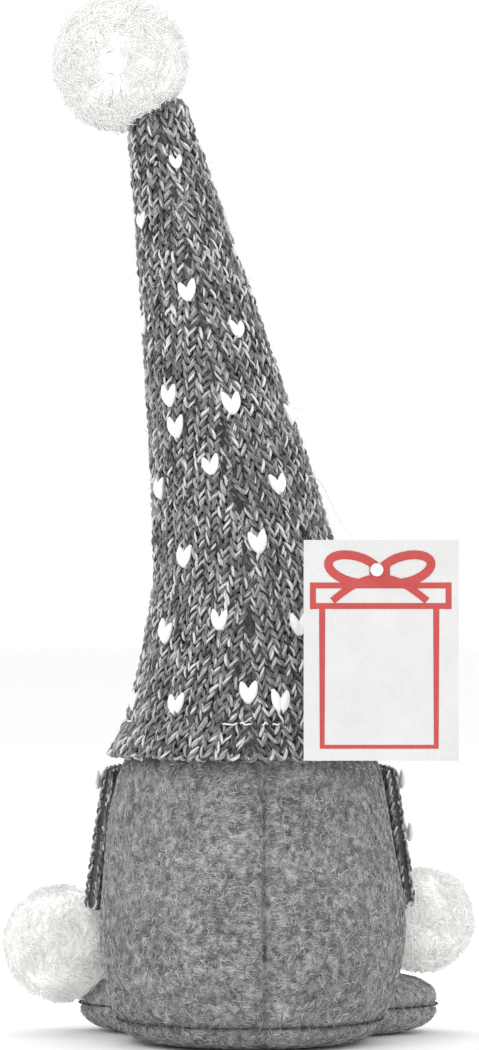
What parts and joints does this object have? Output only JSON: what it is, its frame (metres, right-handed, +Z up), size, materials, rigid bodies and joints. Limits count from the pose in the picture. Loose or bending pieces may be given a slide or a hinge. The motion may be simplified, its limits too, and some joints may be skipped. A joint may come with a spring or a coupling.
{
  "type": "stuffed christmas gnome",
  "caption": "Stuffed felt gnome figure with a tall bent knitted hat, pompoms on ear flaps, a beard and a hanging gift tag; stands as a table ornament.",
  "frame": {"origin": "centre of the flat seat, on the surface the gnome stands on", "axes": "+Z up, the gnome faces +Y, +X is at the gnome's right hand side as seen from behind"},
  "size_m": [0.1658, 0.118, 0.3603],
  "materials": {
    "felt": "matt melange wool felt",
    "knit": "marled knit",
    "yarn": "fluffy cut yarn",
    "fur": "long pile fur",
    "fibre_fill": "loose fibre",
    "lining": "plain woven cloth",
    "nose_felt": "matt felt",
    "thread": "sewing thread",
    "card": "uncoated printed card",
    "nylon": "translucent satin"
  },
  "bodies": {
    "gnome": {"body_cover": "felt", "seat_panel": "felt", "seat_seam_thread": "thread", "pellet_bag": "lining", "body_stuffing": "fibre_fill", "left_foot_upper": "felt", "left_foot_sole": "felt", "left_foot_stuffing": "fibre_fill", "left_foot_seam_thread": "thread", "right_foot_upper": "felt", "right_foot_sole": "felt", "right_foot_stuffing": "fibre_fill", "right_foot_seam_thread": "thread", "hat_lower_knit": "knit", "hat_lower_stuffing": "fibre_fill", "beard_backing": "lining", "beard_fur": "fur", "nose": "nose_felt", "tag_pin": "nylon"},
    "hat_top": {"hat_upper_knit": "knit", "hat_upper_stuffing": "fibre_fill"},
    "top_pompom": {"hat_pompom": "yarn", "hat_pompom_tie": "yarn"},
    "left_flap": {"left_ear_flap": "knit"},
    "left_flap_pompom": {"left_pompom": "yarn", "left_pompom_tie": "yarn"},
    "right_flap": {"right_ear_flap": "knit"},
    "right_flap_pompom": {"right_pompom": "yarn", "right_pompom_tie": "yarn"},
    "tag": {"tag_card": "card"}
  },
  "joints": [
    {"name": "hat_bend", "type": "hinge", "parent": "gnome", "child": "hat_top", "pos_m": [-0.01401, 0, 0.235], "axis": [0, 1, 0], "range_deg": [-40, 35]},
    {"name": "hat_pompom_flop", "type": "hinge", "parent": "hat_top", "child": "top_pompom", "pos_m": [-0.0317, 0, 0.3195], "axis": [0, 1, 0], "range_deg": [0, 50]},
    {"name": "left_flap_lift", "type": "hinge", "parent": "gnome", "child": "left_flap", "pos_m": [-0.04183, 0.02415, 0.0949], "axis": [0.5, 0.866, 0], "range_deg": [0, 100]},
    {"name": "left_pompom_swing", "type": "hinge", "parent": "left_flap", "child": "left_flap_pompom", "pos_m": [-0.0537, 0.031, 0.04772], "axis": [0.5, 0.866, 0], "range_deg": [0, 50]},
    {"name": "right_flap_lift", "type": "hinge", "parent": "gnome", "child": "right_flap", "pos_m": [0.04183, 0.02415, 0.0949], "axis": [0.5, -0.866, 0], "range_deg": [0, 100]},
    {"name": "right_pompom_swing", "type": "hinge", "parent": "right_flap", "child": "right_flap_pompom", "pos_m": [0.05235, 0.03023, 0.05504], "axis": [0.5, -0.866, 0], "range_deg": [0, 50]},
    {"name": "tag_swing", "type": "hinge", "parent": "gnome", "child": "tag", "pos_m": [0.0424, -0.0508, 0.163], "axis": [0, 1, 0], "range_deg": [-50, 50]}
  ]
}
